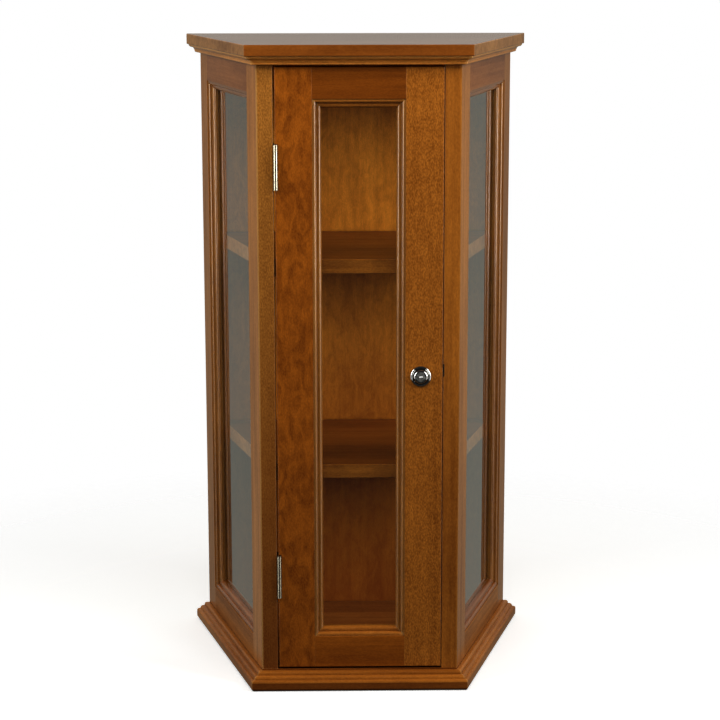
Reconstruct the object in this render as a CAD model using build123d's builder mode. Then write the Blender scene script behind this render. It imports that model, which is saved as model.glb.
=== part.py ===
from build123d import *
import math
import os

os.makedirs("parts", exist_ok=True)

# ------------------------------------------------------------------ driving dimensions, mm
# The carcass is a trapezoid in plan: narrow at the front, wide at the back.
HEIGHT = 737.0
BODY_DEPTH = 249.0
HALF_FRONT = 112.5
HALF_BACK = 187.0
BOARD_OVERHANG = 16.0
TOP_THICKNESS = 12.5
FLOOR_THICKNESS = 22.5
CROWN_HEIGHT = 9.5
WOOD = 19.0                    # thickness of every stile and rail
EASE = 1.0                     # radius of the eased edges

# The door fills the front between two narrow stiles.
HALF_OPENING = 94.2
HALF_DOOR = 92.5               # from the middle to the hinged edge
CLOSING_GAP = 0.5
CLOSING_BEVEL = 1.1            # the closing edge slopes in by this, to clear the stile as it swings
DOOR_BOTTOM = 24.5
DOOR_TOP = 712.5
DOOR_STILE = 41.0
DOOR_TOP_RAIL = 35.0
DOOR_BOTTOM_RAIL = 37.0

# The angled frames: widths along the face, heights from the ground.
SIDE_FRONT_STILE = 40.0
SIDE_BACK_STILE = 32.0
SIDE_WINDOW_BOTTOM = 51.5
SIDE_WINDOW_TOP = 683.0

# What fills each window, from the face inwards: moulding, pane, stops.
BEAD_WIDTH = 10.0
BEAD_DEPTH = 11.0
BEAD_STEP = 1.0                # the moulding starts this far below the face
PANE = 3.0
PANE_PLAY = 0.5
STOP_WIDTH = 8.0
MITRE_GAP = 0.06
TENON_LENGTH = 12.0
TENON_THICKNESS = 6.0
TENON_SHOULDER = 5.0

BACK_PANEL = 6.0
REBATE = 9.0                   # wood left outside the back panel's rebate

SHELF = 16.5
LOWER_SHELF_TOP = 260.4
UPPER_SHELF_TOP = 497.3
SHELF_SETBACK = 22.0
SHELF_PLAY = 0.4
PEG_RADIUS = 2.5
PEG_LENGTH = 18.0
PEG_SUNK = 9.0
PEG_FROM_WINDOW = 0.34         # share of a stile's width between the window and its peg

DOWEL_RADIUS = 3.0
DOWEL_DEPTH = 0.42             # shares of the wood's thickness, from the face
BACK_DOWEL_DEPTH = 0.37
MITRE_SHARE = 0.68
DOWEL_FROM_CORNER = 0.62       # share of the side frame's front stile
DOWEL_FROM_BACK = 0.44         # share of its back stile
DOWEL_IN_STILE = 20.0
DOWEL_IN_TOP = 8.0
DOWEL_IN_FLOOR = 14.0

HINGE_LENGTH = 50.0
HINGE_KNUCKLES = 5
HINGE_RADIUS = 2.5
HINGE_LEAF = 1.2
HINGE_PROUD = 2.2              # the pin's centre stands this far in front of the face
HINGE_REACH = 14.0             # how far the leaves run in from the face
HINGE_INSET = 84.5             # from each end of the door to the nearer end of its hinge
PIN_RADIUS = 1.25
PIN_CLEARANCE = 0.05
KNUCKLE_GAP = 0.2
LEAF_NOTCH = 0.4
MORTISE_PLAY = 0.3
SCREW_SPACING = 17.0

LOCK_X = 69.0
LOCK_Z = 367.7
LOCK_FLANGE = 11.75            # radii, from the rounded rim inwards
LOCK_RIM = 8.7
LOCK_BOSS = 7.9
LOCK_FACE = 6.3
LOCK_EDGE = 0.8                # heights above the door: rim's edge, groove, boss, face
LOCK_GROOVE = 1.1
LOCK_SHOULDER = 3.2
LOCK_RISE = 4.8
LOCK_BARREL = 9.0
LOCK_LENGTH = 24.0
LOCK_HOLE_PLAY = 0.2
PLUG_RADIUS = 5.5
PLUG_CLEARANCE = 0.08
PLUG_RECESS = 0.5
PLUG_SQUARE = 7.0
KEYWAY = (5.0, 2.2, 0.6)       # length, width, depth to the shutter that closes it
NUT_FLATS = 22.0
NUT_THICKNESS = 3.5
CAM_WIDTH = 14.0
CAM_THICKNESS = 2.0
CAM_REACH = 24.0
CAM_CRANK = (13.0, 17.0)       # the cam steps forward between these radii
CAM_STEP = 3.3
CAM_GAP = 0.3
CAM_FOOT_ROUND = 6.5
CAM_TIP_ROUND = 3.5
STRIKE_BOTTOM = 366.8
STRIKE_TOP = 381.1
STRIKE_METAL = 1.2
STRIKE_SETBACK = 2.0
STRIKE_HOOK = 10.2
STRIKE_GAP = 0.4

CUT_MARGIN = 1.0               # cutting blocks run this far past what they cut

# ------------------------------------------------------------------ derived places
FACE_Y = BOARD_OVERHANG - (BODY_DEPTH + BOARD_OVERHANG) / 2
BACK_Y = FACE_Y + BODY_DEPTH
CEILING = HEIGHT - TOP_THICKNESS
CROWN_BOTTOM = CEILING - CROWN_HEIGHT
SIDE_ANGLE = math.atan2(HALF_BACK - HALF_FRONT, BODY_DEPTH)
SIDE_SIN = math.sin(SIDE_ANGLE)
SIDE_COS = math.cos(SIDE_ANGLE)
SIDE_LENGTH = BODY_DEPTH / SIDE_COS
STOP_DEPTH = WOOD - BEAD_DEPTH - PANE
PANEL_FRONT = BACK_Y - BACK_PANEL

# Both faces are laid out alike: x along the face to the right, y up, z out of the face.
FACE = Plane(origin=(0, FACE_Y, 0), x_dir=(1, 0, 0), z_dir=(0, -1, 0))
SIDE = Plane(origin=(HALF_FRONT, FACE_Y, 0), x_dir=(SIDE_SIN, SIDE_COS, 0), z_dir=(SIDE_COS, -SIDE_SIN, 0))

HINGE_X = -HALF_OPENING + HINGE_RADIUS
HINGE_Y = FACE_Y - HINGE_PROUD
HINGES = {
    "upper": DOOR_TOP - HINGE_INSET - HINGE_LENGTH / 2,
    "lower": DOOR_BOTTOM + HINGE_INSET + HINGE_LENGTH / 2,
}


# ------------------------------------------------------------------ helpers
def save(piece, name):
    """Names a finished piece and writes it."""
    piece.part.label = name
    export_step(piece.part, f"parts/{name}.step")


def half_width(y, offset=0.0):
    """Half the carcass width at y, with the angled faces moved out by offset."""
    return HALF_FRONT + (y - FACE_Y) * SIDE_SIN / SIDE_COS + offset / SIDE_COS


def trapezoid(front_y, back_y, offset):
    """Plan of a board between two depths, following the angled faces at an offset."""
    front = half_width(front_y, offset)
    back = half_width(back_y, offset)
    return [(-front, front_y), (front, front_y), (back, back_y), (-back, back_y)]


def side_point(along, depth):
    """Plan position on the right frame: a distance along its face and a depth below it."""
    x = HALF_FRONT + along * SIDE_SIN - depth * SIDE_COS
    y = FACE_Y + along * SIDE_COS + depth * SIDE_SIN
    return (x, y)


def prism(outline, bottom, top, cutters=(), eased=None):
    """An upright piece with the given plan; cutters are fasteners and pockets let into it."""
    with BuildPart() as piece:
        with BuildSketch(Plane.XY.offset(bottom)):
            Polygon(*outline, align=None)
        extrude(amount=top - bottom)
        if eased:
            fillet(eased(piece.edges()), EASE)
        for cutter in cutters:
            add(cutter, mode=Mode.SUBTRACT)
    return piece


def face_slab(plane, left, right, bottom, top, depth, thickness):
    """A rectangular block laid out on a face, starting at a depth below it."""
    with BuildPart() as slab:
        with BuildSketch(plane.offset(-depth)):
            with Locations(((left + right) / 2, (bottom + top) / 2)):
                Rectangle(right - left, top - bottom)
        extrude(amount=-thickness)
    return slab.part


def turned(plane, outline):
    """A turned solid about the normal of plane, from (radius, height) corners."""
    section = Plane(origin=plane.origin, x_dir=plane.x_dir, z_dir=-plane.y_dir)
    with BuildPart() as piece:
        with BuildSketch(section):
            Polygon(*outline, align=None)
        revolve(axis=Axis(plane.origin, plane.z_dir))
    return piece.part


def grouped(solids):
    """Separate solids kept together as one named piece."""
    with BuildPart() as group:
        for solid in solids:
            add(solid)
    return group


def mirrored(piece):
    """The left-hand twin of a right-hand piece."""
    with BuildPart() as twin:
        mirror(piece.part, about=Plane.YZ)
    return twin


def facing(x, y, z, direction):
    """A plane at a point whose normal is a horizontal direction."""
    return Plane(origin=(x, y, z), x_dir=(0, 0, 1), z_dir=direction)


# ------------------------------------------------------------------ fasteners
SCREW_HEAD = 2.5
SCREW_SHANK = 1.4
SCREW_TAPER = 1.1
SCREW_POINT = 2.0
SCREW_LENGTH = 10.0
SCREW_CROSS = (2.6, 0.7, 0.6)   # length, width, depth of the driver recess


def screw_blank(seat, length=SCREW_LENGTH):
    """A countersunk wood screw without its driver recess; the head is flush with the seat."""
    outline = [
        (0, 0),
        (SCREW_HEAD, 0),
        (SCREW_SHANK, -SCREW_TAPER),
        (SCREW_SHANK, SCREW_POINT - length),
        (0, -length),
    ]
    return turned(seat, outline)


def screws(seats, length=SCREW_LENGTH):
    """Finished screws, one for each seat plane, with a cross recess."""
    with BuildPart() as group:
        for seat in seats:
            add(screw_blank(seat, length))
            with BuildSketch(seat):
                Rectangle(SCREW_CROSS[0], SCREW_CROSS[1])
                Rectangle(SCREW_CROSS[1], SCREW_CROSS[0])
            extrude(amount=-SCREW_CROSS[2], mode=Mode.SUBTRACT)
    return group


def upright_pegs(places, radius, bottom, top):
    """Round pegs standing at plan positions."""
    with BuildPart() as group:
        with BuildSketch(Plane.XY.offset(bottom)):
            with Locations(*places):
                Circle(radius)
        extrude(amount=top - bottom)
    return group


# Dowels locate all six stiles in the top and the floor.
DOWEL_Y = FACE_Y + WOOD * DOWEL_DEPTH
DOWEL_PLACES = [
    ((HALF_OPENING + half_width(DOWEL_Y, -WOOD * MITRE_SHARE)) / 2, DOWEL_Y),
    side_point(SIDE_FRONT_STILE * DOWEL_FROM_CORNER, WOOD / 2),
    side_point(SIDE_LENGTH - SIDE_BACK_STILE * DOWEL_FROM_BACK, WOOD * BACK_DOWEL_DEPTH),
]
DOWEL_PLACES += [(-x, y) for x, y in DOWEL_PLACES]
top_dowels = upright_pegs(DOWEL_PLACES, DOWEL_RADIUS, CEILING - DOWEL_IN_STILE, CEILING + DOWEL_IN_TOP)
save(top_dowels, "top_dowels")
floor_dowels = upright_pegs(
    DOWEL_PLACES, DOWEL_RADIUS, FLOOR_THICKNESS - DOWEL_IN_FLOOR, FLOOR_THICKNESS + DOWEL_IN_STILE
)
save(floor_dowels, "floor_dowels")
DOWELS = [top_dowels.part, floor_dowels.part]


# ------------------------------------------------------------------ boards
def all_edges(edges):
    return edges


top_board = prism(
    trapezoid(FACE_Y - BOARD_OVERHANG, BACK_Y, BOARD_OVERHANG), CEILING, HEIGHT, [top_dowels.part], all_edges
)
save(top_board, "top_board")
floor_board = prism(trapezoid(FACE_Y, BACK_Y, 0), 0, FLOOR_THICKNESS, [floor_dowels.part])
save(floor_board, "floor_board")


# ------------------------------------------------------------------ crown and base mouldings
CROWN_REACH = 13.6
BASE_REACH = 15.5
BASE_HEIGHT = 21.0
BASE_ROUND = 4.0
BASE_FLAT = 9.8

# Sections are drawn with x out from the carcass face and y up. An arc's last number is its
# rise: above zero it bows to the left of its direction, below zero to the right.
with BuildSketch() as crown_section:
    with BuildLine():
        Line((0, 0), (CROWN_REACH, 0))
        SagittaArc((CROWN_REACH, 0), (11.0, -3.4), 0.7)
        Line((11.0, -3.4), (9.8, -3.6))
        SagittaArc((9.8, -3.6), (7.2, -6.8), -0.7)
        Line((7.2, -6.8), (6.5, -7.0))
        SagittaArc((6.5, -7.0), (5.7, -CROWN_HEIGHT), 0.5)
        Polyline((5.7, -CROWN_HEIGHT), (0, -CROWN_HEIGHT), (0, 0))
    make_face()

with BuildSketch() as base_section:
    with BuildLine():
        Line((0, 0), (BASE_REACH - BASE_ROUND, 0))
        RadiusArc((BASE_REACH - BASE_ROUND, 0), (BASE_REACH, BASE_ROUND), -BASE_ROUND)
        Line((BASE_REACH, BASE_ROUND), (BASE_REACH, BASE_FLAT))
        SagittaArc((BASE_REACH, BASE_FLAT), (12.8, 13.0), -0.9)
        Line((12.8, 13.0), (11.4, 13.2))
        SagittaArc((11.4, 13.2), (7.4, 16.8), -1.1)
        Line((7.4, 16.8), (6.2, 17.0))
        SagittaArc((6.2, 17.0), (4.0, BASE_HEIGHT), -0.8)
        Polyline((4.0, BASE_HEIGHT), (0, BASE_HEIGHT), (0, 0))
    make_face()


def planted(section, plane, start, length, rise, footprint):
    """A moulding planted along a face and trimmed to its mitred footprint."""
    end = plane.from_local_coords((start + length, rise, 0))
    across = Plane(origin=end, x_dir=plane.z_dir, z_dir=-plane.x_dir)
    with BuildPart() as moulding:
        with BuildSketch(across):
            add(section.sketch)
        extrude(amount=length)
        with BuildSketch(Plane.XY):
            Polygon(*footprint, align=None)
        extrude(amount=HEIGHT, mode=Mode.INTERSECT)
    return moulding


def moulding_set(section, name, reach, rise):
    """Front and side mouldings that meet at mitred corners."""
    front_corner = (half_width(FACE_Y - reach, reach), FACE_Y - reach)
    face_corner = (HALF_FRONT, FACE_Y)
    outer_back = (half_width(BACK_Y, reach), BACK_Y)
    front_plan = [
        (-face_corner[0], face_corner[1]),
        face_corner,
        front_corner,
        (-front_corner[0], front_corner[1]),
    ]
    side_plan = [face_corner, front_corner, outer_back, (HALF_BACK, BACK_Y)]
    front = planted(section, FACE, -HALF_FRONT - reach, 2 * (HALF_FRONT + reach), rise, front_plan)
    right = planted(section, SIDE, -reach, SIDE_LENGTH + 2 * reach, rise, side_plan)
    save(front, f"{name}_front")
    save(right, f"{name}_right")
    save(mirrored(right), f"{name}_left")


moulding_set(crown_section, "crown", BOARD_OVERHANG, CEILING)
moulding_set(base_section, "base", BASE_REACH, 0)


# ------------------------------------------------------------------ windows: moulding, pane and stops
# Window sections are drawn with x inwards from the edge of the opening and y out of the face.
with BuildSketch() as bead_section:
    with BuildLine():
        Line((0, -BEAD_STEP), (0.7, -BEAD_STEP))
        SagittaArc((0.7, -BEAD_STEP), (4.1, -3.0), 0.8)
        Polyline((4.1, -3.0), (4.4, -4.9), (4.9, -4.9))
        SagittaArc((4.9, -4.9), (9.6, -7.3), 1.3)
        Polyline((9.6, -7.3), (BEAD_WIDTH, -7.8), (BEAD_WIDTH, -BEAD_DEPTH), (0, -BEAD_DEPTH), (0, -BEAD_STEP))
    make_face()

with BuildSketch() as stop_section:
    with Locations((STOP_WIDTH / 2, -WOOD + STOP_DEPTH / 2)):
        Rectangle(STOP_WIDTH, STOP_DEPTH)
    vertices = stop_section.vertices().sort_by(Axis.Y)[:2].sort_by(Axis.X)
    fillet(vertices[-1], EASE)


def mitred_run(base, length, width, section):
    """One length of a window's moulding along the x of base, with its ends cut at 45 degrees."""
    across = Plane(origin=base.origin, x_dir=base.y_dir, z_dir=base.x_dir)
    with BuildPart() as run:
        with BuildSketch(across):
            add(section.sketch)
        extrude(amount=length)
        with BuildSketch(base):
            Polygon(
                (MITRE_GAP, 0),
                (length - MITRE_GAP, 0),
                (length - MITRE_GAP - width, width),
                (MITRE_GAP + width, width),
                align=None,
            )
        extrude(amount=-WOOD, mode=Mode.INTERSECT)
    return run.part


def mitred_frame(plane, window, width, section):
    """Four mitred lengths round a window, each a solid of its own."""
    left, right, bottom, top = window
    corners = [(left, bottom), (right, bottom), (right, top), (left, top)]
    lengths = [right - left, top - bottom, right - left, top - bottom]
    runs = []
    for quarter in range(4):
        turn = plane.location * Pos(*corners[quarter]) * Rot(0, 0, 90 * quarter)
        runs.append(mitred_run(Plane(turn), lengths[quarter], width, section))
    return grouped(runs)


def pane(plane, window):
    """The glass behind a window's moulding, a little smaller than its opening."""
    left, right, bottom, top = window
    with BuildPart() as glass:
        add(
            face_slab(
                plane,
                left + PANE_PLAY,
                right - PANE_PLAY,
                bottom + PANE_PLAY,
                top - PANE_PLAY,
                BEAD_DEPTH,
                PANE,
            )
        )
    return glass


def rail(plane, window, bottom, top, eased=None):
    """A rail between two stiles, with a stub tenon at each end."""
    left, right = window[:2]
    with BuildPart() as piece:
        add(face_slab(plane, left, right, bottom, top, 0, WOOD))
        if eased:
            fillet(eased(piece.edges()), EASE)
        add(tenons(plane, window, bottom, top))
    return piece


def tenons(plane, window, bottom, top):
    """The block that forms both tenons of a rail; it also cuts their mortises."""
    left, right = window[:2]
    return face_slab(
        plane,
        left - TENON_LENGTH,
        right + TENON_LENGTH,
        bottom + TENON_SHOULDER,
        top - TENON_SHOULDER,
        (WOOD - TENON_THICKNESS) / 2,
        TENON_THICKNESS,
    )


# ------------------------------------------------------------------ angled frames
SIDE_WINDOW = (SIDE_FRONT_STILE, SIDE_LENGTH - SIDE_BACK_STILE, SIDE_WINDOW_BOTTOM, SIDE_WINDOW_TOP)
MITRE_ALONG = WOOD * (1 - SIDE_SIN) / SIDE_COS
PEG_ALONG = (
    SIDE_FRONT_STILE * (1 - PEG_FROM_WINDOW),
    SIDE_LENGTH - SIDE_BACK_STILE * (1 - PEG_FROM_WINDOW),
)


def shelf_pegs(shelf_top):
    """Four pegs in the right and left frames that carry a shelf."""
    height = shelf_top - SHELF - PEG_RADIUS
    with BuildPart() as pegs:
        for along in PEG_ALONG:
            x, y = side_point(along, WOOD - PEG_SUNK)
            with BuildSketch(Plane(origin=(x, y, height), z_dir=(-SIDE_COS, SIDE_SIN, 0))):
                Circle(PEG_RADIUS)
            extrude(amount=PEG_LENGTH)
        mirror(about=Plane.YZ)
    return pegs


upper_shelf_pegs = shelf_pegs(UPPER_SHELF_TOP)
save(upper_shelf_pegs, "upper_shelf_pegs")
lower_shelf_pegs = shelf_pegs(LOWER_SHELF_TOP)
save(lower_shelf_pegs, "lower_shelf_pegs")
PEGS = [upper_shelf_pegs.part, lower_shelf_pegs.part]

# Small screws hold the back panel in its rebate.
PANEL_HALF = HALF_BACK - REBATE
PANEL_SCREW = 14.0
PANEL_SCREW_X = PANEL_HALF - BACK_PANEL
PANEL_SCREW_Z = [60.0, 373.0, 686.0]
panel_seats = [facing(side * PANEL_SCREW_X, BACK_Y, z, (0, 1, 0)) for side in (-1, 1) for z in PANEL_SCREW_Z]
back_panel_screws = screws(panel_seats, PANEL_SCREW)
save(back_panel_screws, "back_panel_screws")
panel_screw_blanks = [screw_blank(seat, PANEL_SCREW) for seat in panel_seats]

with BuildPart() as panel_rebate:
    with BuildSketch(Plane.XY.offset(FLOOR_THICKNESS)):
        with Locations((0, BACK_Y - BACK_PANEL / 2)):
            Rectangle(2 * PANEL_HALF, BACK_PANEL)
    extrude(amount=CEILING - FLOOR_THICKNESS)

side_tenons = [
    tenons(SIDE, SIDE_WINDOW, SIDE_WINDOW_TOP, CEILING),
    tenons(SIDE, SIDE_WINDOW, FLOOR_THICKNESS, SIDE_WINDOW_BOTTOM),
]
front_stile_plan = [
    side_point(0, 0),
    side_point(SIDE_FRONT_STILE, 0),
    side_point(SIDE_FRONT_STILE, WOOD),
    side_point(MITRE_ALONG, WOOD),
]
inner_back_along = (BODY_DEPTH - WOOD * SIDE_SIN) / SIDE_COS
back_stile_plan = [
    side_point(SIDE_LENGTH - SIDE_BACK_STILE, 0),
    side_point(SIDE_LENGTH, 0),
    side_point(inner_back_along, WOOD),
    side_point(SIDE_LENGTH - SIDE_BACK_STILE, WOOD),
]
side_pieces = {
    "front_stile": prism(front_stile_plan, FLOOR_THICKNESS, CEILING, DOWELS + PEGS + side_tenons),
    "back_stile": prism(
        back_stile_plan,
        FLOOR_THICKNESS,
        CEILING,
        DOWELS + PEGS + side_tenons + panel_screw_blanks + [panel_rebate.part],
    ),
    "top_rail": rail(SIDE, SIDE_WINDOW, SIDE_WINDOW_TOP, CEILING),
    "bottom_rail": rail(SIDE, SIDE_WINDOW, FLOOR_THICKNESS, SIDE_WINDOW_BOTTOM),
    "moulding": mitred_frame(SIDE, SIDE_WINDOW, BEAD_WIDTH, bead_section),
    "glass": pane(SIDE, SIDE_WINDOW),
    "glass_stops": mitred_frame(SIDE, SIDE_WINDOW, STOP_WIDTH, stop_section),
}
for name, piece in side_pieces.items():
    save(piece, f"right_side_{name}")
    save(mirrored(piece), f"left_side_{name}")

with BuildPart() as back_panel:
    add(panel_rebate.part)
    for blank in panel_screw_blanks:
        add(blank, mode=Mode.SUBTRACT)
save(back_panel, "back_panel")


# ------------------------------------------------------------------ shelves
def front_edges(edges):
    return edges.filter_by(Axis.X).group_by(Axis.Y)[0]


SHELF_PLAN = trapezoid(FACE_Y + SHELF_SETBACK, PANEL_FRONT - SHELF_PLAY, -WOOD - SHELF_PLAY)
for name, shelf_top in (("upper_shelf", UPPER_SHELF_TOP), ("lower_shelf", LOWER_SHELF_TOP)):
    save(prism(SHELF_PLAN, shelf_top - SHELF, shelf_top, eased=front_edges), name)


# ------------------------------------------------------------------ hinges
def hinge_box(left, right, back, bottom, top):
    """A block beside the hinge line, from in front of the knuckles to a depth behind the face."""
    front = HINGE_Y - HINGE_RADIUS - CUT_MARGIN
    with BuildPart() as block:
        with BuildSketch(Plane.XY.offset(bottom)):
            with Locations(((left + right) / 2, (front + back) / 2)):
                Rectangle(right - left, back - front)
        extrude(amount=top - bottom)
    return block.part


def leaf(middle, side, own_knuckles, blanks):
    """One leaf of a butt hinge: side -1 is the cabinet's, side 1 the door's."""
    step = HINGE_LENGTH / HINGE_KNUCKLES
    bottom = middle - HINGE_LENGTH / 2
    flat = HINGE_X + side * (HINGE_RADIUS - HINGE_LEAF / 2)
    with BuildPart() as plate:
        with BuildSketch(Plane.XY.offset(bottom)):
            with Locations((flat, (HINGE_Y + FACE_Y + HINGE_REACH) / 2)):
                Rectangle(HINGE_LEAF, FACE_Y + HINGE_REACH - HINGE_Y)
        extrude(amount=HINGE_LENGTH)
        for knuckle in range(HINGE_KNUCKLES):
            low = bottom + knuckle * step
            if knuckle in own_knuckles:
                with BuildSketch(Plane.XY.offset(low + KNUCKLE_GAP / 2)):
                    with Locations((HINGE_X, HINGE_Y)):
                        Circle(HINGE_RADIUS)
                extrude(amount=step - KNUCKLE_GAP)
            else:
                clear = HINGE_Y + HINGE_RADIUS + LEAF_NOTCH
                notch = hinge_box(
                    flat - HINGE_LEAF,
                    flat + HINGE_LEAF,
                    clear,
                    low - KNUCKLE_GAP / 2,
                    low + step + KNUCKLE_GAP / 2,
                )
                add(notch, mode=Mode.SUBTRACT)
        with BuildSketch(Plane.XY.offset(bottom)):
            with Locations((HINGE_X, HINGE_Y)):
                Circle(PIN_RADIUS + PIN_CLEARANCE)
        extrude(amount=HINGE_LENGTH, mode=Mode.SUBTRACT)
        for blank in blanks:
            add(blank, mode=Mode.SUBTRACT)
    return plate


def hinge_seats(middle, side):
    """Screw seats on the inner face of a leaf, in a row along the hinge."""
    x = HINGE_X + side * (HINGE_RADIUS - HINGE_LEAF)
    y = (HINGE_Y + HINGE_RADIUS + FACE_Y + HINGE_REACH) / 2
    return [facing(x, y, middle + k * SCREW_SPACING, (-side, 0, 0)) for k in (-1, 0, 1)]


CABINET_KNUCKLES = (0, 2, 4)
DOOR_KNUCKLES = (1, 3)
stile_screw_blanks = []
door_screw_blanks = []
hinge_mortises = []
for name, middle in HINGES.items():
    cabinet_seats = hinge_seats(middle, -1)
    door_seats = hinge_seats(middle, 1)
    cabinet_blanks = [screw_blank(seat) for seat in cabinet_seats]
    door_blanks = [screw_blank(seat) for seat in door_seats]
    save(leaf(middle, -1, CABINET_KNUCKLES, cabinet_blanks), f"{name}_hinge_cabinet_leaf")
    save(leaf(middle, 1, DOOR_KNUCKLES, door_blanks), f"{name}_hinge_door_leaf")
    save(screws(cabinet_seats), f"{name}_hinge_cabinet_screws")
    save(screws(door_seats), f"{name}_hinge_door_screws")
    pin = upright_pegs(
        [(HINGE_X, HINGE_Y)], PIN_RADIUS, middle - HINGE_LENGTH / 2, middle + HINGE_LENGTH / 2
    )
    save(pin, f"{name}_hinge_pin")
    stile_screw_blanks += cabinet_blanks
    door_screw_blanks += door_blanks
    hinge_mortises.append(
        hinge_box(
            -HALF_DOOR - EASE,
            HINGE_X + HINGE_RADIUS,
            FACE_Y + HINGE_REACH + MORTISE_PLAY,
            middle - HINGE_LENGTH / 2 - MORTISE_PLAY,
            middle + HINGE_LENGTH / 2 + MORTISE_PLAY,
        )
    )

# ------------------------------------------------------------------ front stiles, header and strike
STRIKE_MIDDLE = (STRIKE_BOTTOM + STRIKE_TOP) / 2
STRIKE_SCREW_DEPTHS = (6.5, 13.0)
STRIKE_SCREW = 7.0
strike_seats = [
    facing(HALF_OPENING, FACE_Y + depth, STRIKE_MIDDLE, (-1, 0, 0)) for depth in STRIKE_SCREW_DEPTHS
]
strike_screw_blanks = [screw_blank(seat, STRIKE_SCREW) for seat in strike_seats]
strike_screws = screws(strike_seats, STRIKE_SCREW)
save(strike_screws, "strike_screws")


def strike_shape(front):
    """An angle plate: one leg along the stile's edge, the other behind the door for the cam."""
    outer = HALF_OPENING + STRIKE_METAL
    hook_front = FACE_Y + WOOD + STRIKE_GAP
    hook_back = hook_front + STRIKE_METAL
    with BuildPart() as angle:
        with BuildSketch(Plane.XY.offset(STRIKE_BOTTOM)):
            Polygon(
                (HALF_OPENING, front),
                (outer, front),
                (outer, hook_back),
                (HALF_OPENING - STRIKE_HOOK, hook_back),
                (HALF_OPENING - STRIKE_HOOK, hook_front),
                (HALF_OPENING, hook_front),
                align=None,
            )
        extrude(amount=STRIKE_TOP - STRIKE_BOTTOM)
    return angle.part


with BuildPart() as lock_strike:
    add(strike_shape(FACE_Y + STRIKE_SETBACK))
    for blank in strike_screw_blanks:
        add(blank, mode=Mode.SUBTRACT)
save(lock_strike, "lock_strike")

mitre_corner = side_point(MITRE_ALONG, WOOD)
right_stile_plan = [(HALF_OPENING, FACE_Y), (HALF_FRONT, FACE_Y), mitre_corner, (HALF_OPENING, FACE_Y + WOOD)]
left_stile_plan = [(-x, y) for x, y in right_stile_plan]


def right_stile_ease(edges):
    return edges.filter_by(Axis.Z).sort_by(Axis.X)[:2].sort_by(Axis.Y)[0]


def left_stile_ease(edges):
    return edges.filter_by(Axis.Z).sort_by(Axis.X)[-2:].sort_by(Axis.Y)[0]


front_stile_right = prism(
    right_stile_plan,
    FLOOR_THICKNESS,
    CEILING,
    DOWELS + strike_screw_blanks + [strike_shape(FACE_Y - EASE)],
    right_stile_ease,
)
save(front_stile_right, "front_stile_right")
front_stile_left = prism(
    left_stile_plan, FLOOR_THICKNESS, CEILING, DOWELS + stile_screw_blanks, left_stile_ease
)
save(front_stile_left, "front_stile_left")

with BuildPart() as header_rail:
    add(face_slab(FACE, -HALF_OPENING, HALF_OPENING, CROWN_BOTTOM, CEILING, 0, WOOD))
save(header_rail, "header_rail")

# ------------------------------------------------------------------ door
HALF_WINDOW = HALF_DOOR - DOOR_STILE
DOOR_WINDOW = (-HALF_WINDOW, HALF_WINDOW, DOOR_BOTTOM + DOOR_BOTTOM_RAIL, DOOR_TOP - DOOR_TOP_RAIL)
door_tenons = [
    tenons(FACE, DOOR_WINDOW, DOOR_WINDOW[3], DOOR_TOP),
    tenons(FACE, DOOR_WINDOW, DOOR_BOTTOM, DOOR_WINDOW[2]),
]


def door_stile(side, face_edge, back_edge, cutters):
    """A door stile with its outer edges and its ends eased on the front."""
    plan = [
        (side * HALF_WINDOW, FACE_Y),
        (side * face_edge, FACE_Y),
        (side * back_edge, FACE_Y + WOOD),
        (side * HALF_WINDOW, FACE_Y + WOOD),
    ]
    with BuildPart() as stile:
        with BuildSketch(Plane.XY.offset(DOOR_BOTTOM)):
            Polygon(*plan, align=None)
        extrude(amount=DOOR_TOP - DOOR_BOTTOM)
        upright = stile.edges().filter_by(Axis.Z).sort_by(Axis.X)
        outer = upright[:2] if side < 0 else upright[-2:]
        ends = stile.edges().filter_by(Axis.X).group_by(Axis.Y)[0]
        fillet(outer + ends, EASE)
        for cutter in cutters:
            add(cutter, mode=Mode.SUBTRACT)
    return stile


def top_front_edge(edges):
    return edges.filter_by(Axis.X).group_by(Axis.Y)[0].sort_by(Axis.Z)[-1]


def bottom_front_edge(edges):
    return edges.filter_by(Axis.X).group_by(Axis.Y)[0].sort_by(Axis.Z)[0]


LOCK = Plane(origin=(LOCK_X, FACE_Y, LOCK_Z), x_dir=(1, 0, 0), z_dir=(0, -1, 0))
with BuildPart() as lock_bore:
    with BuildSketch(LOCK):
        Circle(LOCK_BARREL + LOCK_HOLE_PLAY)
    extrude(amount=-WOOD)

CLOSING_EDGE = HALF_OPENING - CLOSING_GAP
door_left_stile = door_stile(-1, HALF_DOOR, HALF_DOOR, door_tenons + door_screw_blanks + hinge_mortises)
save(door_left_stile, "door_left_stile")
door_right_stile = door_stile(1, CLOSING_EDGE, CLOSING_EDGE - CLOSING_BEVEL, door_tenons + [lock_bore.part])
save(door_right_stile, "door_right_stile")
save(rail(FACE, DOOR_WINDOW, DOOR_WINDOW[3], DOOR_TOP, top_front_edge), "door_top_rail")
save(rail(FACE, DOOR_WINDOW, DOOR_BOTTOM, DOOR_WINDOW[2], bottom_front_edge), "door_bottom_rail")
save(mitred_frame(FACE, DOOR_WINDOW, BEAD_WIDTH, bead_section), "door_moulding")
save(pane(FACE, DOOR_WINDOW), "door_glass")
save(mitred_frame(FACE, DOOR_WINDOW, STOP_WIDTH, stop_section), "door_glass_stops")

# ------------------------------------------------------------------ lock
LOCK_AXIS = Axis(LOCK.origin, LOCK.z_dir)
LOCK_SECTION = Plane(origin=LOCK.origin, x_dir=LOCK.x_dir, z_dir=-LOCK.y_dir)
HOUSING_BORE = PLUG_RADIUS + PLUG_CLEARANCE
RIM_BULGE = 1.1
BOSS_BULGE = 0.35

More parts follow.
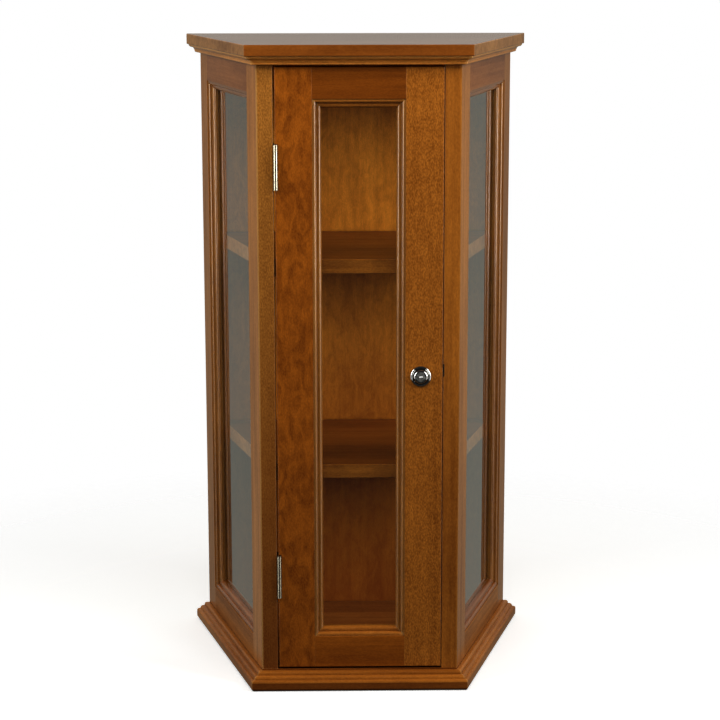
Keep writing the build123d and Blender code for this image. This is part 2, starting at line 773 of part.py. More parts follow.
with BuildPart() as lock_housing:
    with BuildSketch(LOCK_SECTION):
        with BuildLine():
            Polyline(
                (LOCK_FACE, LOCK_RISE),
                (HOUSING_BORE, LOCK_RISE),
                (HOUSING_BORE, -LOCK_LENGTH),
                (LOCK_BARREL, -LOCK_LENGTH),
                (LOCK_BARREL, 0),
                (LOCK_FLANGE, 0),
                (LOCK_FLANGE, LOCK_EDGE),
            )
            SagittaArc((LOCK_FLANGE, LOCK_EDGE), (LOCK_RIM, LOCK_GROOVE), -RIM_BULGE)
            Polyline((LOCK_RIM, LOCK_GROOVE), (LOCK_BOSS, LOCK_GROOVE), (LOCK_BOSS, LOCK_SHOULDER))
            SagittaArc((LOCK_BOSS, LOCK_SHOULDER), (LOCK_FACE, LOCK_RISE), -BOSS_BULGE)
        make_face()
    revolve(axis=LOCK_AXIS)
save(lock_housing, "lock_housing")

with BuildPart() as lock_nut:
    with BuildSketch(LOCK.offset(-WOOD)):
        RegularPolygon(NUT_FLATS / 2, 6, major_radius=False)
        Circle(LOCK_BARREL, mode=Mode.SUBTRACT)
    extrude(amount=-NUT_THICKNESS)
save(lock_nut, "lock_nut")

CAM_FRONT = -LOCK_LENGTH - CAM_GAP
CAM_BACK = CAM_FRONT - CAM_THICKNESS
CAM_SCREW_RADIUS = 2.0
CAM_SCREW_DEPTH = 9.0
CAM_SCREW_HEAD = 4.4
CAM_SCREW_HEAD_HEIGHT = 2.4
SQUARE_PLAY = 0.1

with BuildPart() as lock_plug:
    with BuildSketch(LOCK.offset(LOCK_RISE - PLUG_RECESS)):
        Circle(PLUG_RADIUS)
    extrude(amount=-(LOCK_LENGTH + LOCK_RISE - PLUG_RECESS))
    with BuildSketch(LOCK.offset(-LOCK_LENGTH)):
        Rectangle(PLUG_SQUARE, PLUG_SQUARE)
    extrude(amount=CAM_BACK + LOCK_LENGTH)
    with BuildSketch(LOCK.offset(LOCK_RISE - PLUG_RECESS)):
        Rectangle(KEYWAY[0], KEYWAY[1])
    extrude(amount=-KEYWAY[2], mode=Mode.SUBTRACT)
    with BuildSketch(LOCK.offset(CAM_BACK)):
        Circle(CAM_SCREW_RADIUS)
    extrude(amount=CAM_SCREW_DEPTH, mode=Mode.SUBTRACT)
save(lock_plug, "lock_plug")

# The cam stands upright when the door is free and steps forward to reach behind the strike.
CAM_SECTION = Plane(origin=LOCK.origin, x_dir=LOCK.y_dir, z_dir=LOCK.x_dir)
with BuildPart() as lock_cam:
    with BuildSketch(CAM_SECTION):
        Polygon(
            (-CAM_WIDTH / 2, CAM_FRONT),
            (CAM_CRANK[0], CAM_FRONT),
            (CAM_CRANK[1], CAM_FRONT + CAM_STEP),
            (CAM_REACH, CAM_FRONT + CAM_STEP),
            (CAM_REACH, CAM_BACK + CAM_STEP),
            (CAM_CRANK[1] + CAM_THICKNESS / 2, CAM_BACK + CAM_STEP),
            (CAM_CRANK[0] + CAM_THICKNESS / 2, CAM_BACK),
            (-CAM_WIDTH / 2, CAM_BACK),
            align=None,
        )
    extrude(amount=CAM_WIDTH / 2, both=True)
    foot = lock_cam.edges().filter_by(Axis.Y).group_by(Axis.Z)[0]
    tip = lock_cam.edges().filter_by(Axis.Y).group_by(Axis.Z)[-1]
    fillet(foot, CAM_FOOT_ROUND)
    fillet(tip, CAM_TIP_ROUND)
    with BuildSketch(LOCK.offset(CAM_FRONT + CUT_MARGIN)):
        Rectangle(PLUG_SQUARE + SQUARE_PLAY, PLUG_SQUARE + SQUARE_PLAY)
    extrude(amount=-CAM_THICKNESS - 2 * CUT_MARGIN, mode=Mode.SUBTRACT)
save(lock_cam, "lock_cam")

with BuildPart() as lock_cam_screw:
    with BuildSketch(LOCK.offset(CAM_BACK)):
        Circle(CAM_SCREW_HEAD)
    extrude(amount=-CAM_SCREW_HEAD_HEIGHT)
    fillet(lock_cam_screw.edges().sort_by(Axis.Y)[-1], EASE)
    with BuildSketch(LOCK.offset(CAM_BACK)):
        Circle(CAM_SCREW_RADIUS)
    extrude(amount=CAM_SCREW_DEPTH)
    with BuildSketch(LOCK.offset(CAM_BACK - CAM_SCREW_HEAD_HEIGHT)):
        Rectangle(CAM_SCREW_HEAD, SCREW_CROSS[1])
        Rectangle(SCREW_CROSS[1], CAM_SCREW_HEAD)
    extrude(amount=EASE, mode=Mode.SUBTRACT)
save(lock_cam_screw, "lock_cam_screw")
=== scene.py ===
import math

import bpy
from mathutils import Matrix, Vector


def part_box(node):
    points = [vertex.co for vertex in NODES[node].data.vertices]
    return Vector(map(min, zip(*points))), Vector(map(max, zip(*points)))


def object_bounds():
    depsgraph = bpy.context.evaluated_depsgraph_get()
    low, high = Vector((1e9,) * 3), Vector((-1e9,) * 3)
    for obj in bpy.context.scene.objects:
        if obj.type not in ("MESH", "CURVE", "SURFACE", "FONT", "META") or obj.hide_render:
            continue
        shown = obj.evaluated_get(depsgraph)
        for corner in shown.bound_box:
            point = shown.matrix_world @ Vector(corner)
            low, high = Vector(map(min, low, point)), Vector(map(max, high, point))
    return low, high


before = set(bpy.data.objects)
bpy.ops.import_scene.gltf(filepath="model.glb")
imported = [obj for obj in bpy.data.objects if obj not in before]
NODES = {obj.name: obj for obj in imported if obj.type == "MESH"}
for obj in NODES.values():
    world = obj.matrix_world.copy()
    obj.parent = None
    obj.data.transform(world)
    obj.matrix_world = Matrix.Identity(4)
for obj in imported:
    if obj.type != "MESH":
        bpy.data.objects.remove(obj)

CAD_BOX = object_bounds()
SCENE = bpy.context.scene

# A face looks some way if its normal's share of that way is over FACING, and looks straight that
# way if it is over FLAT_ON.
FACING = 0.5
FLAT_ON = 0.9

# ---------------------------------------------------------------- places, read from the frame
HALF_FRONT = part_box("front_stile_right")[1].x
HALF_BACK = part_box("right_side_back_stile")[1].x
FACE_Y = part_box("front_stile_right")[0].y
BACK_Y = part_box("floor_board")[1].y
HEIGHT = CAD_BOX[1].z
SIDE_ANGLE = math.atan2(HALF_BACK - HALF_FRONT, BACK_Y - FACE_Y)

# ---------------------------------------------------------------- camera
# The camera stands a little left of the middle, just above the top, and looks down on the case.
CAMERA_PLACE = Vector((-0.0358, -2.3550, 0.8537))
CAMERA_PITCH = math.radians(11.783)
CAMERA_YAW = math.radians(0.937)
CAMERA_ROLL = math.radians(-0.07)
CAMERA_LENS = 102.1


def make_camera():
    data = bpy.data.cameras.new("camera")
    data.lens = CAMERA_LENS
    camera = bpy.data.objects.new("camera", data)
    SCENE.collection.objects.link(camera)
    camera.location = CAMERA_PLACE
    camera.rotation_euler = (math.pi / 2 - CAMERA_PITCH, 0, -CAMERA_YAW)
    camera.rotation_euler.rotate_axis("Z", CAMERA_ROLL)
    SCENE.camera = camera


# ---------------------------------------------------------------- node helpers
def put(tree, kind, inputs=None, output=0, **settings):
    """Adds a shader node, sets it, feeds its inputs and returns one of its outputs."""
    made = tree.nodes.new(f"ShaderNode{kind}")
    for name, value in settings.items():
        setattr(made, name, value)
    for name, value in (inputs or {}).items():
        socket = made.inputs[name]
        if isinstance(value, bpy.types.NodeSocket):
            tree.links.new(value, socket)
        else:
            socket.default_value = value
    return made.outputs[output] if made.outputs else None


def calc(tree, operation, a, b=0.0, clamp=False):
    return put(tree, "Math", {0: a, 1: b}, operation=operation, use_clamp=clamp)


def remap(tree, value, low, high, to_low=0.0, to_high=1.0):
    """Stretches a value's range and holds it between the two new ends."""
    ends = {"Value": value, "From Min": low, "From Max": high, "To Min": to_low, "To Max": to_high}
    return put(tree, "MapRange", ends)


def colour_mix(tree, factor, a, b, blend="MIX"):
    # a Mix node keeps its colour sockets at 6 and 7, and its colour output at 2
    sockets = {0: factor, 6: a, 7: b}
    return put(tree, "Mix", sockets, output=2, data_type="RGBA", blend_type=blend)


def noise(tree, place, stretch, detail=2.0, distortion=0.0):
    """Noise whose cells are 1 / stretch metres along each of the texture's axes."""
    scaled = put(tree, "VectorMath", {0: place, 1: stretch}, operation="MULTIPLY")
    wanted = {"Vector": scaled, "Scale": 1.0, "Detail": detail, "Distortion": distortion}
    return put(tree, "TexNoise", wanted)


def new_material(name):
    material = bpy.data.materials.new(name)
    material.use_nodes = True
    material.node_tree.nodes.clear()
    return material


def finish_material(material, shader):
    put(material.node_tree, "OutputMaterial", {"Surface": shader})
    return material


def rgb(red, green, blue):
    return (red, green, blue, 1.0)


WHITE = rgb(1, 1, 1)


# ---------------------------------------------------------------- wood
# A tone is the stain's middle colour. The grain runs darker and lighter than it by these shares.
TONES = {
    "blaze": (0.86, 0.340, 0.055),
    "straw": (0.80, 0.310, 0.032),
    "gold": (0.55, 0.205, 0.024),
    "honey": (0.43, 0.180, 0.030),
    "amber": (0.46, 0.168, 0.021),
    "russet": (0.37, 0.112, 0.009),
    "chestnut": (0.34, 0.110, 0.014),
    "umber": (0.25, 0.072, 0.006),
    "pale": (0.52, 0.330, 0.150),
}
DARK_GRAIN = (0.48, 0.38, 0.24)
LIGHT_GRAIN = (1.52, 1.62, 1.88)
# The same goes for the painted shade low down and in each corner, and for edges painted lighter,
# partly as wear and partly as painted highlight.
FOOT_SHADE = (0.33, 0.12, 0.03)
CORNER_SHADE = (0.20, 0.14, 0.15)
RUBBED_AND_HIGHLIGHTED = (1.5, 2.0, 4.0)

# Each of the grain's noises: cells in a metre along the three axes, detail and distortion.
CLOUD = ((14, 14, 3), 3.0, 0.0)
STREAK = ((130, 130, 4), 4.0, 0.6)
CURL = ((75, 75, 34), 2.0, 1.4)
FLECK = ((820, 820, 380), 2.0, 0.0)
PORE = ((1900, 1900, 90), 1.0, 0.0)
NOISE_SPREAD = (0.34, 0.66)
PORE_PEAKS = (0.60, 0.70)
PORE_STAIN = 0.3
# from one piece to the next the grain is taken from another place in the noise
SEED_SHIFT = (0.31, 0.17, 0.53)

# A figure says how strongly the cloud, streak, curl and fleck noises show.
FIGURES = {
    "plain": (0.34, 0.30, 0.10, 0.20),
    "speckled": (0.22, 0.12, 0.14, 0.52),
    "curly": (0.14, 0.08, 0.46, 0.32),
    "mild": (0.40, 0.18, 0.26, 0.16),
}

# Lengths in metres: how far off another face makes a corner, and how round an edge is.
CORNER_REACH = 0.006
EDGE_ROUND = 0.0007
AO_SAMPLES = 4
BEVEL_SAMPLES = 6
# The openness at which a corner or an edge begins and at which it shows in full, and that
# between which the lacquer comes in.
IN_CORNER = (0.75, 0.2)
AT_EDGE = (0.75, 0.35)
DULL_TO_GLOSSY = (0.1, 0.45)
# The painted shade at the bottom fades out to nothing at this share of the height.
FOOT_TOP = 0.8

# The wood under the lacquer is roughest where the figure is darkest. Pores sink in, and flecks
# stand up a little.
DARK_TO_LIGHT = (0.2, 0.8)
ROUGHEST, SMOOTHEST = 0.44, 0.34
PORE_DEPTH = -0.6
FLECK_HEIGHT = 0.25
RELIEF = {"Strength": 0.3, "Distance": 0.0001}
LACQUER = {
    "IOR": 1.45,
    "Specular IOR Level": 0.15,
    "Coat Roughness": 0.18,
    "Coat IOR": 1.42,
}


def tinted(tone, shares):
    return rgb(*(part * share for part, share in zip(TONES[tone], shares)))


def grain_along(heading=None):
    """Rotation that turns a horizontal heading, or else the vertical, onto the texture's z."""
    if heading is None:
        return (0.0, 0.0, 0.0)
    return (math.pi / 2, -heading, 0.0)


UPRIGHT = grain_along()
ACROSS = grain_along(math.pi / 2)
RIGHT_FACE = grain_along(SIDE_ANGLE)
LEFT_FACE = grain_along(-SIDE_ANGLE)


def figured(tree, laid, figure):
    """Drifting clouds, long streaks, curly blotches and short flecks, added by their shares."""
    patterns = [noise(tree, laid, *kind) for kind in (CLOUD, STREAK, CURL, FLECK)]
    total = 0.0
    for pattern, share in zip(patterns, FIGURES[figure]):
        spread = remap(tree, pattern, *NOISE_SPREAD)
        total = calc(tree, "ADD", total, calc(tree, "MULTIPLY", spread, share))
    return total, patterns[-1]


def openness(tree, reach, **settings):
    """1 on open faces, and less in corners; measured inside the piece, less along its edges."""
    wanted = {"Distance": reach}
    return put(tree, "AmbientOcclusion", wanted, output="AO", samples=AO_SAMPLES, **settings)


def wood(name, tone, figure, grain, seed, gloss=0.65, foot_shade=0.0, corner_shade=0.7, rub_and_highlight=0.4, reach=0.0014):
    """Stained hardwood under satin lacquer, with fine pores, painted shade in each corner and low
    down, and edges painted lighter, partly as wear and partly as painted highlight.

    gloss is the lacquer's strength, foot and corners are the strengths of the painted shade at
    the bottom and in each corner, and rub says how strongly the edges are painted lighter, as far
    in as reach.
    """
    dark = tinted(tone, DARK_GRAIN)
    light = tinted(tone, LIGHT_GRAIN)
    material = new_material(name)
    tree = material.node_tree
    place = put(tree, "TexCoord", output="Object")
    shift = tuple(step * seed for step in SEED_SHIFT)
    laid = put(tree, "Mapping", {"Vector": place, "Rotation": grain, "Location": shift})
    pattern, fleck = figured(tree, laid, figure)
    stain = colour_mix(tree, pattern, dark, light)
    pores = remap(tree, noise(tree, laid, *PORE), *PORE_PEAKS)
    stain = colour_mix(tree, calc(tree, "MULTIPLY", pores, PORE_STAIN), stain, dark)
    # Painted shade: the colour turns darker towards the bottom.
    if foot_shade:
        rise = put(tree, "SeparateXYZ", {0: place}, output="Z")
        lower_shade = remap(tree, rise, 0.0, HEIGHT * FOOT_TOP, foot_shade, 0.0)
        stain = colour_mix(tree, lower_shade, stain, tinted(tone, FOOT_SHADE))

    # Painted shade darkens each corner, where the lacquer is made thinner too, and the edges are
    # painted lighter, partly as wear and partly as painted highlight.
    corner = openness(tree, CORNER_REACH)
    corner_shaded = remap(tree, corner, *IN_CORNER, 0.0, corner_shade)
    stain = colour_mix(tree, corner_shaded, stain, tinted(tone, CORNER_SHADE))
    edge = openness(tree, reach, inside=True, only_local=True)
    worn_and_highlighted = remap(tree, edge, *AT_EDGE, 0.0, rub_and_highlight)
    stain = colour_mix(tree, worn_and_highlighted, stain, tinted(tone, RUBBED_AND_HIGHLIGHTED))

    sunk = calc(tree, "MULTIPLY", pores, PORE_DEPTH)
    raised = calc(tree, "MULTIPLY", fleck, FLECK_HEIGHT)
    height = calc(tree, "ADD", sunk, raised)
    rounded = put(tree, "Bevel", {"Radius": EDGE_ROUND}, samples=BEVEL_SAMPLES)
    relief = put(tree, "Bump", {**RELIEF, "Height": height, "Normal": rounded})
    lacquered = {
        **LACQUER,
        "Base Color": stain,
        "Roughness": remap(tree, pattern, *DARK_TO_LIGHT, ROUGHEST, SMOOTHEST),
        "Normal": relief,
        "Coat Weight": remap(tree, corner, *DULL_TO_GLOSSY, 0.0, gloss),
        "Coat Normal": rounded,
    }
    return finish_material(material, put(tree, "BsdfPrincipled", lacquered))


# The tone, figure and grain of each wooden node that has one grain all over.
WOODEN = {
    "top_board": ("chestnut", "plain", ACROSS),
    "header_rail": ("umber", "plain", ACROSS),
    "crown_front": ("blaze", "plain", ACROSS),
    "crown_left": ("straw", "plain", LEFT_FACE),
    "crown_right": ("straw", "plain", RIGHT_FACE),
    "floor_board": ("chestnut", "plain", ACROSS),
    "base_front": ("amber", "plain", ACROSS),
    "base_left": ("amber", "plain", LEFT_FACE),
    "base_right": ("amber", "plain", RIGHT_FACE),
    "front_stile_left": ("honey", "speckled", UPRIGHT),
    "front_stile_right": ("amber", "plain", UPRIGHT),
    "door_left_stile": ("russet", "curly", UPRIGHT),
    "door_right_stile": ("amber", "speckled", UPRIGHT),
    "door_top_rail": ("umber", "plain", ACROSS),
    "door_bottom_rail": ("russet", "plain", ACROSS),
    "upper_shelf": ("umber", "plain", ACROSS),
    "lower_shelf": ("umber", "plain", ACROSS),
    "back_panel": ("straw", "mild", UPRIGHT),
}
for side, face in (("left", LEFT_FACE), ("right", RIGHT_FACE)):
    WOODEN[f"{side}_side_front_stile"] = ("gold", "plain", UPRIGHT)
    WOODEN[f"{side}_side_back_stile"] = ("amber", "plain", UPRIGHT)
    WOODEN[f"{side}_side_top_rail"] = ("russet", "plain", face)
    WOODEN[f"{side}_side_bottom_rail"] = ("amber", "plain", face)
for name in ("upper_shelf_pegs", "lower_shelf_pegs"):
    WOODEN[name] = ("pale", "plain", ACROSS)
for name in ("top_dowels", "floor_dowels"):
    WOODEN[name] = ("pale", "plain", UPRIGHT)

# Mouldings and stops go round a window, so each has two upright runs and two short ones across:
# the tones of both, the grain of the short ones, and the way that these run. A node that is
# neither here nor above is not wood.
FRAMED = {
    "door_moulding": ("honey", "amber", ACROSS, Vector((1, 0, 0))),
    "door_glass_stops": ("amber", "amber", ACROSS, Vector((1, 0, 0))),
}
for side, face, sign in (("left", LEFT_FACE, -1), ("right", RIGHT_FACE, 1)):
    along = Vector((sign * math.sin(SIDE_ANGLE), math.cos(SIDE_ANGLE), 0))
    FRAMED[f"{side}_side_moulding"] = ("honey", "chestnut", face, along)
    FRAMED[f"{side}_side_glass_stops"] = ("amber", "amber", face, along)


def is_wood(name):
    return name in WOODEN or name in FRAMED


# Pieces finished otherwise than wood() does by itself, also in how strong the painted shade low
# down and in each corner is, and how strongly their edges are painted lighter as wear and painted
# highlight.
FINISH = {
    "top_board": {"gloss": 1.0},
    "crown_front": {"corner_shade": 0.2, "rub_and_highlight": 0.8, "reach": 0.003},
    "crown_left": {"corner_shade": 0.3, "rub_and_highlight": 0.8, "reach": 0.003},
    "crown_right": {"corner_shade": 0.3, "rub_and_highlight": 0.8, "reach": 0.003},
    "base_front": {"foot_shade": 0.15},
    "base_left": {"gloss": 0.3, "rub_and_highlight": 0.6, "reach": 0.003},
    "base_right": {"gloss": 0.3, "rub_and_highlight": 0.6, "reach": 0.003},
    "front_stile_left": {"foot_shade": 0.7, "rub_and_highlight": 0.9, "reach": 0.002},
    "back_panel": {"foot_shade": 0.65},
    "upper_shelf": {"gloss": 0.15},
    "lower_shelf": {"gloss": 0.15},
    "floor_board": {"gloss": 0.15},
    "left_side_bottom_rail": {"gloss": 0.2},
    "right_side_bottom_rail": {"gloss": 0.2},
}
# Mouldings get full gloss and edges painted much lighter, partly as wear and partly as painted
# highlight.
MOULDED = {"gloss": 1.0, "corner_shade": 0.5, "rub_and_highlight": 0.9, "reach": 0.003}
# Each node's seed is its place in the lists above; its short runs have their own half way on.
HALF_SEED = 0.5
SPARE_SEED = len(WOODEN) + len(FRAMED)


def dress_wood():
    for seed, (name, (tone, figure, grain)) in enumerate(WOODEN.items()):
        finish = FINISH.get(name, {})
        NODES[name].data.materials.clear()
        NODES[name].data.materials.append(wood(name, tone, figure, grain, seed, **finish))


def dress_board():
    """The top board's slanted ends get a lighter tone as painted light, and its upper face a darker
    one as painted shade.
    """
    board = NODES["top_board"].data
    board.materials.append(wood("top_board_ends_painted_light", "honey", "plain", ACROSS, SPARE_SEED))
    board.materials.append(wood("top_board_face_painted_shade", "umber", "plain", ACROSS, SPARE_SEED, gloss=1.0))
    for face in board.polygons:
        if abs(face.normal.x) > FACING:
            face.material_index = 1
        elif face.normal.z > FACING:
            face.material_index = 2


def dress_base():
    """The lowest face of the front base moulding gets a darker tone than the steps above it, as
    painted shade.
    """
    base = NODES["base_front"].data
    foot_shade = wood("base_front_shaded_face", "chestnut", "plain", ACROSS, SPARE_SEED, foot_shade=0.25)
    base.materials.append(foot_shade)
    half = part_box("base_front")[1].z / 2
    for face in base.polygons:
        face.material_index = int(face.normal.y < -FLAT_ON and face.center.z < half)


def dress_shelves():
    """The shelves' faces keep a dark tone as painted shade, and their front edges and slanted ends
    get lighter ones as painted light.
    """
    front = wood("shelf_front_painted_light", "gold", "plain", ACROSS, SPARE_SEED)
    end = wood("shelf_ends_painted_light", "blaze", "plain", ACROSS, SPARE_SEED)
    for name in ("upper_shelf", "lower_shelf"):
        shelf = NODES[name].data
        shelf.materials.append(front)
        shelf.materials.append(end)
        for face in shelf.polygons:
            if face.normal.y < -FACING:
                face.material_index = 1
            elif abs(face.normal.x) > FACING:
                face.material_index = 2


def dress_framed():
    """Runs that lie across get cross grain, and upright runs get upright grain."""
    for seed, (name, (tone, short_tone, grain, along)) in enumerate(FRAMED.items(), len(WOODEN)):
        mesh = NODES[name].data
        mesh.materials.clear()
        upright = wood(name + "_upright", tone, "plain", UPRIGHT, seed, **MOULDED)
        across = wood(name + "_across", short_tone, "plain", grain, seed + HALF_SEED, **MOULDED)
        mesh.materials.append(upright)
        mesh.materials.append(across)
        outs = [vertex.co.dot(along) for vertex in mesh.vertices]
        rises = [vertex.co.z for vertex in mesh.vertices]
        left, right, bottom, top = min(outs), max(outs), min(rises), max(rises)
        for face in mesh.polygons:
            out = face.center.dot(along)
            rise = face.center.z
            to_side = min(out - left, right - out)
            to_end = min(rise - bottom, top - rise)
            face.material_index = int(to_end < to_side)


# ---------------------------------------------------------------- glass and metal
GLASS_TINT = rgb(0.965, 0.975, 0.97)
GLASS_IOR = 1.5
GLASS_ROUGHNESS = 0.02
# Both faces of a pane mirror, the inner one a little less; the outer one stands for the two.
PANE_FACES = 1.9

# Metal is shaded and made rougher by smears, each between two values of their noise.
SMEAR = ((160, 160, 160), 3.0)
SMEAR_SHADES = (0.35, 0.65)
SMEAR_SHARE = 0.5
SMEAR_ROUGHENS = (0.3, 0.7)
SMEAR_ROUGHER = 1.8
# Its scratches lie level: they are this much finer along z.
SCRATCH_FINER = 6
SCRATCH_RELIEF = {"Strength": 0.15, "Distance": 0.00003}
# Painted shade darkens its crevices, which begin and are full at these values of openness.
CREVICE_SHADE = rgb(0.02, 0.018, 0.015)
CREVICE_SHADE_REACH = 0.002
CREVICE_SHADE_SHARE = 0.85
IN_CREVICE = (0.7, 0.2)

# How deep the keyway's shutter lies behind the plug's face, in metres.
SHUTTER_SUNK = (0.0003, 0.0012)


def glass():
    """Clear float glass: it lets light straight through and mirrors more at a glancing angle."""
    material = new_material("clear_glass")
    tree = material.node_tree
    clear = put(tree, "BsdfTransparent", {"Color": GLASS_TINT})
    mirror = put(tree, "BsdfGlossy", {"Color": WHITE, "Roughness": GLASS_ROUGHNESS})
    facing = put(tree, "Fresnel", {"IOR": GLASS_IOR})
    paired = calc(tree, "MULTIPLY", facing, PANE_FACES, clamp=True)
    inside = put(tree, "NewGeometry", output="Backfacing")
    front_only = calc(tree, "MULTIPLY", paired, calc(tree, "SUBTRACT", 1.0, inside))
    shader = put(tree, "MixShader", {0: front_only, 1: clear, 2: mirror})
    return finish_material(material, shader)


def metal(name, colour, shade, rough, fine):
    """Plated or polished metal with handling marks and painted shade in its crevices; fine is how
    many fit in a metre.
    """
    material = new_material(name)
    tree = material.node_tree
    place = put(tree, "TexCoord", output="Object")
    smear = noise(tree, place, *SMEAR)
    scratch = noise(tree, place, (fine, fine, fine * SCRATCH_FINER))
    shaded = remap(tree, smear, *SMEAR_SHADES, 0.0, SMEAR_SHARE)
    tint = colour_mix(tree, shaded, colour, shade)
    crevice_shaded = remap(tree, openness(tree, CREVICE_SHADE_REACH), *IN_CREVICE, 0.0, CREVICE_SHADE_SHARE)
    plated = {
        "Base Color": colour_mix(tree, crevice_shaded, tint, CREVICE_SHADE),
        "Metallic": 1.0,
        "Roughness": remap(tree, smear, *SMEAR_ROUGHENS, rough, rough * SMEAR_ROUGHER),
        "Normal": put(tree, "Bump", {**SCRATCH_RELIEF, "Height": scratch}),
    }
    return finish_material(material, put(tree, "BsdfPrincipled", plated))


def shine_shutter(plug, bright):
    """The shutter that closes the keyway is polished brighter than the plug round it."""
    plug.data.materials.append(bright)
    near = min(vertex.co.y for vertex in plug.data.vertices)
    for face in plug.data.polygons:
        sunk = face.center.y - near
        if face.normal.y < -FLAT_ON and SHUTTER_SUNK[0] < sunk < SHUTTER_SUNK[1]:
            face.material_index = 1


def dress_rest():
    clear = glass()
    nickel = metal("hinge_nickel", rgb(0.42, 0.39, 0.30), rgb(0.28, 0.25, 0.19), 0.22, 1500)
    chrome = metal("lock_chrome", rgb(0.62, 0.62, 0.59), rgb(0.50, 0.50, 0.48), 0.04, 2500)
    brushed = metal("plug_nickel", rgb(0.42, 0.42, 0.38), rgb(0.30, 0.30, 0.28), 0.30, 2500)
    polished = metal("shutter_steel", rgb(0.98, 0.98, 0.96), rgb(0.93, 0.93, 0.91), 0.55, 2500)
    steel = metal("screw_steel", rgb(0.70, 0.66, 0.58), rgb(0.50, 0.47, 0.42), 0.28, 2000)
    zinc = metal("bright_steel", rgb(0.62, 0.62, 0.62), rgb(0.45, 0.45, 0.46), 0.32, 1200)
    for name, node in NODES.items():
        if is_wood(name):
            continue
        if name.endswith("glass"):
            finish = clear
        elif name.endswith("screws"):
            finish = steel
        elif "hinge" in name:
            finish = nickel
        elif name == "lock_housing":
            finish = chrome
        elif name == "lock_plug":
            finish = brushed
        else:
            finish = zinc
        node.data.materials.clear()
        node.data.materials.append(finish)
    shine_shutter(NODES["lock_plug"], polished)


# ---------------------------------------------------------------- studio
FLOOR_RADIUS = 3.0
FLOOR_COLOUR = rgb(0.86, 0.86, 0.85)
FLOOR_GLOW = rgb(1.0, 1.0, 0.99)
GLOW_STRENGTH = 0.45
# the distances between which the floor fades out
FLOOR_FADE = (0.36, 0.9)


def make_floor():
    """A pale round floor that fades out into the white surroundings."""
    bpy.ops.mesh.primitive_circle_add(vertices=96, radius=FLOOR_RADIUS, fill_type="NGON")
    floor = bpy.context.object
    floor.name = "floor"
    material = new_material("floor")
    tree = material.node_tree
    place = put(tree, "TexCoord", output="Object")
    distance = put(tree, "VectorMath", {0: place}, output="Value", operation="LENGTH")
    lit = put(tree, "BsdfDiffuse", {"Color": FLOOR_COLOUR})
    glow = put(tree, "Emission", {"Color": FLOOR_GLOW, "Strength": GLOW_STRENGTH})
    pale = put(tree, "AddShader", {0: lit, 1: glow})
    away = put(tree, "BsdfTransparent", {"Color": WHITE})
    fade = remap(tree, distance, *FLOOR_FADE)
    finish_material(material, put(tree, "MixShader", {0: fade, 1: pale, 2: away}))
    floor.data.materials.append(material)
    floor.visible_diffuse = False
    floor.visible_glossy = False


def soft_light(name, place, target, size, power):
    """A rectangular light at a place, turned to its target; the camera doesn't see it."""
    data = bpy.data.lights.new(name, "AREA")
    data.shape = "RECTANGLE"
    data.size, data.size_y = size
    data.energy = power
    light = bpy.data.objects.new(name, data)
    SCENE.collection.objects.link(light)
    light.location = place
    light.rotation_euler = (Vector(target) - Vector(place)).to_track_quat("-Z", "Y").to_euler()
    light.visible_camera = False
    return light


# The surroundings that only the case sees: a backdrop that is paler high up, a dark studio in
# front of it, and a dark floor. Each change comes between two heights or depths of a direction.
ROOM_FRONT = rgb(0.05, 0.05, 0.05)
ROOM_BACK = rgb(0.30, 0.305, 0.265)
ROOM_HIGH = rgb(0.62, 0.62, 0.59)
ROOM_BELOW = rgb(0.04, 0.038, 0.035)
FRONT_TO_BACK = (-0.2, 0.6)
BELOW_TO_LEVEL = (-0.6, -0.35)
LEVEL_TO_HIGH = (-0.06, 0.25)
CONTRAST = 0.8

# Lights: places and sizes in metres, powers in watts. All but the key stand at both sides, and
# these are their places on the right.
TARGET = Vector((0, 0, HEIGHT * 0.65))
KEY = Vector((0.05, -0.9, 1.6))
KEY_SIZE = (1.2, 0.6)
KEY_POWER = 9
FILL = Vector((1.3, -0.75, 1.15))
FILL_SIZE = (0.55, 1.0)
FILL_POWER = 12
SIDES = ((-1, 1.0), (1, 1.2))
# The wood's gleam ends below the top board, whose face would mirror it when seen from behind.
GLEAM = Vector((1.27, -0.85, 0.46))
GLEAM_SIZE = (0.85, 0.50)
BEAD_POWER = 13
WOOD_POWER = 4
HIGH_GLEAM = Vector((1.27, -0.85, 0.85))
HIGH_GLEAM_SIZE = (0.85, 1.15)
METAL_POWER = 24
LOW_GLEAM = Vector((1.27, -0.85, -0.08))
LOW_GLEAM_SIZE = (0.85, 0.70)
LOW_POWER = 4


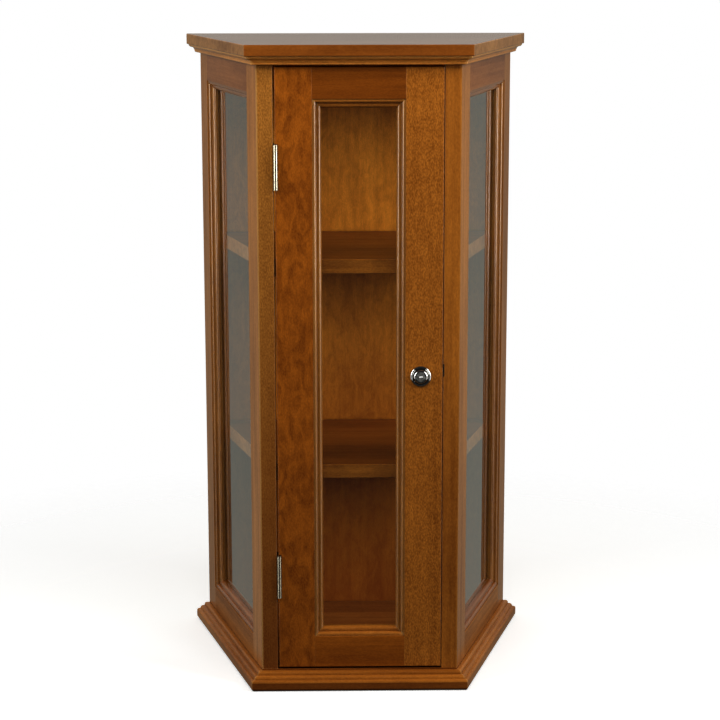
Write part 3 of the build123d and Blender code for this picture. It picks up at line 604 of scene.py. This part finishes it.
def make_room():
    world = bpy.data.worlds.new("studio")
    world.use_nodes = True
    tree = world.node_tree
    tree.nodes.clear()
    direction = put(tree, "TexCoord", output="Generated")
    split = put(tree, "SeparateXYZ", {0: direction}, output="X").node
    behind = remap(tree, split.outputs["Y"], *FRONT_TO_BACK)
    above = remap(tree, split.outputs["Z"], *BELOW_TO_LEVEL)
    high = remap(tree, split.outputs["Z"], *LEVEL_TO_HIGH)
    backdrop = colour_mix(tree, high, ROOM_BACK, ROOM_HIGH)
    level = colour_mix(tree, behind, ROOM_FRONT, backdrop)
    room = colour_mix(tree, above, ROOM_BELOW, level)
    surroundings = put(tree, "Background", {"Color": room, "Strength": 1.0})
    white = put(tree, "Background", {"Color": WHITE, "Strength": 1.0})
    seen = put(tree, "LightPath", output="Is Camera Ray")
    both = put(tree, "MixShader", {0: seen, 1: surroundings, 2: white})
    put(tree, "OutputWorld", {"Surface": both})
    SCENE.world = world
    SCENE.view_settings.view_transform = "Standard"
    SCENE.view_settings.gamma = CONTRAST


def pieces_lit(title, wanted):
    """A collection of the nodes whose names are wanted, for a light that only they receive."""
    pieces = bpy.data.collections.new(title)
    for name, node in NODES.items():
        if wanted(name):
            pieces.objects.link(node)
    return pieces


def make_gleam(name, place, size, power, receivers):
    """A light that is only mirrored, and only by its receivers. It faces the case level on."""
    level = Vector((0, 0, place.z))
    gleam = soft_light(name, place, level, size, power)
    gleam.visible_diffuse = False
    gleam.light_linking.receiver_collection = receivers


def make_studio():
    make_floor()
    make_room()
    # the panes receive no gleam, which they would mirror as a plain white patch
    beads = pieces_lit("beaded_pieces", lambda name: name.endswith("moulding"))
    lacquer = pieces_lit("lacquered_pieces", is_wood)
    plated = pieces_lit("plated_pieces", lambda name: not is_wood(name) and "glass" not in name)
    solid = pieces_lit("solid_pieces", lambda name: is_wood(name) or "glass" not in name)
    key = soft_light("key", KEY, TARGET, KEY_SIZE, KEY_POWER)
    key.visible_glossy = False
    # at each side one light fills the case, and the others are only mirrored
    for side, strength in SIDES:
        mirrored = Vector((side, 1, 1))
        fill = soft_light(f"fill_{side}", FILL * mirrored, TARGET, FILL_SIZE, FILL_POWER * strength)
        fill.visible_glossy = False
        for title, (place, size, power, receivers) in {
            "bead": (GLEAM, GLEAM_SIZE, BEAD_POWER, beads),
            "wood": (GLEAM, GLEAM_SIZE, WOOD_POWER, lacquer),
            "metal": (HIGH_GLEAM, HIGH_GLEAM_SIZE, METAL_POWER, plated),
            "low": (LOW_GLEAM, LOW_GLEAM_SIZE, LOW_POWER, solid),
        }.items():
            make_gleam(f"{title}_gleam_{side}", place * mirrored, size, power * strength, receivers)


make_camera()
dress_wood()
dress_board()
dress_base()
dress_shelves()
dress_framed()
dress_rest()
make_studio()
